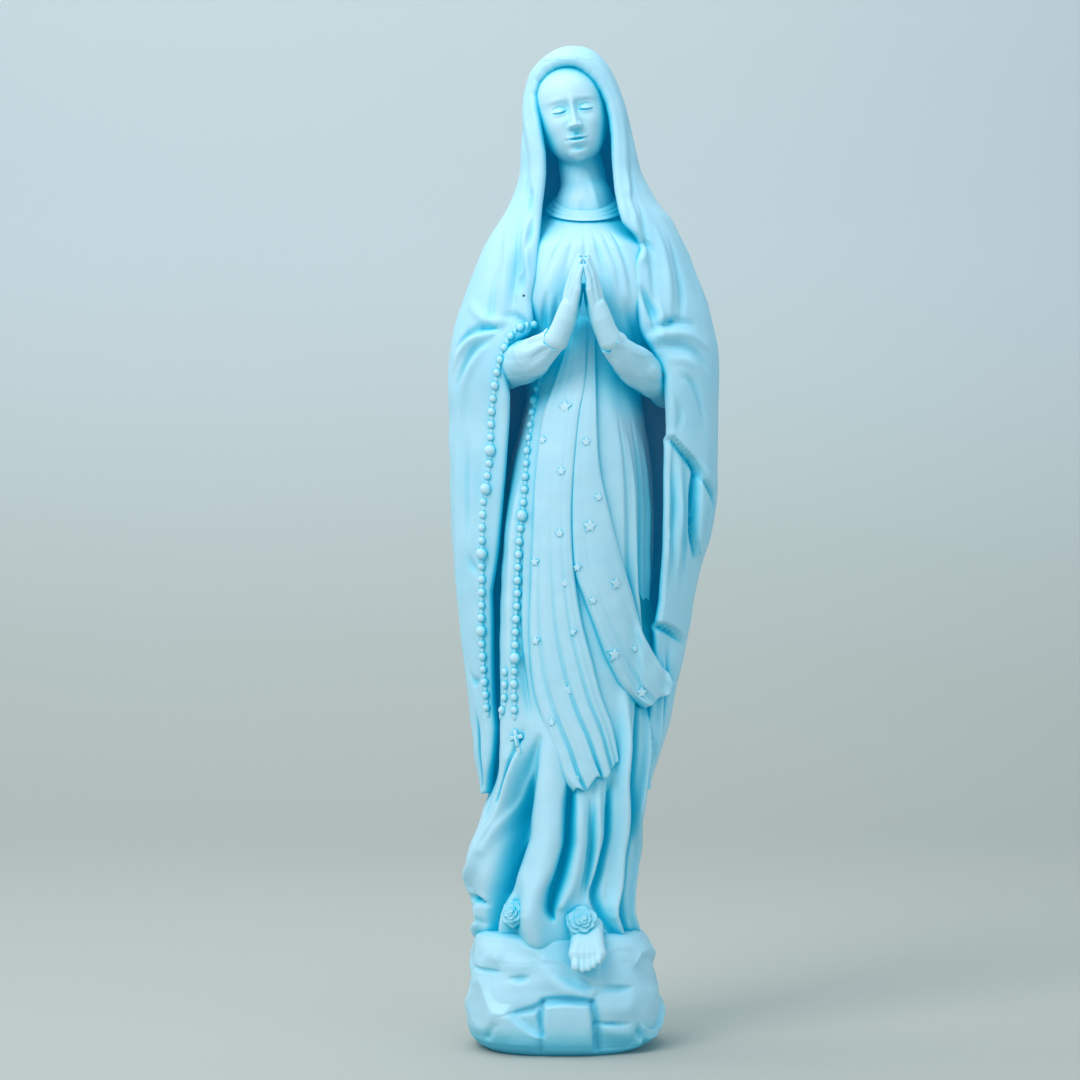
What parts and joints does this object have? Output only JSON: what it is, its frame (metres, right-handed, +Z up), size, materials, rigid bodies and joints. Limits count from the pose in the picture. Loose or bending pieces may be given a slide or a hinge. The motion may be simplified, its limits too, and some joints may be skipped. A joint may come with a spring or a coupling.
{
  "type": "madonna statue",
  "caption": "Standing praying Madonna figure in pale blue cast plaster, veiled, with starred sash and rosary over one arm, on a rock base; a free-standing devotional ornament.",
  "frame": {"origin": "centre of the flat underside of the rock base, where it rests on a shelf", "axes": "+Z up the figure; the face and the praying hands look along -Y; +X is the figure's left side, the viewer's right"},
  "size_m": [0.108, 0.084, 0.4],
  "materials": {
    "mantle_paint": "satin",
    "gown_paint": "satin",
    "skin_paint": "satin",
    "sash_paint": "satin",
    "rosary_paint": "satin",
    "rose_paint": "satin",
    "rock_paint": "satin",
    "raw_plaster": "matte",
    "steel": "satin"
  },
  "bodies": {
    "root": {"rock_base": "rock_paint", "pour_plug": "raw_plaster", "base_dowels": "steel", "gown": "gown_paint", "neck_band": "gown_paint", "mantle": "mantle_paint", "head": "skin_paint", "neck_dowel": "steel", "right_sleeve": "gown_paint", "left_sleeve": "gown_paint", "right_hand": "skin_paint", "left_hand": "skin_paint", "right_arm_wire": "steel", "left_arm_wire": "steel", "sash_right_tail": "sash_paint", "sash_left_tail": "sash_paint", "sash_stars": "sash_paint", "rosary_outer_strand": "rosary_paint", "rosary_inner_strand": "rosary_paint", "rosary_pendant": "rosary_paint", "rosary_crucifix": "rosary_paint", "right_rose": "rose_paint", "left_rose": "rose_paint", "left_foot": "skin_paint"}
  },
  "joints": []
}
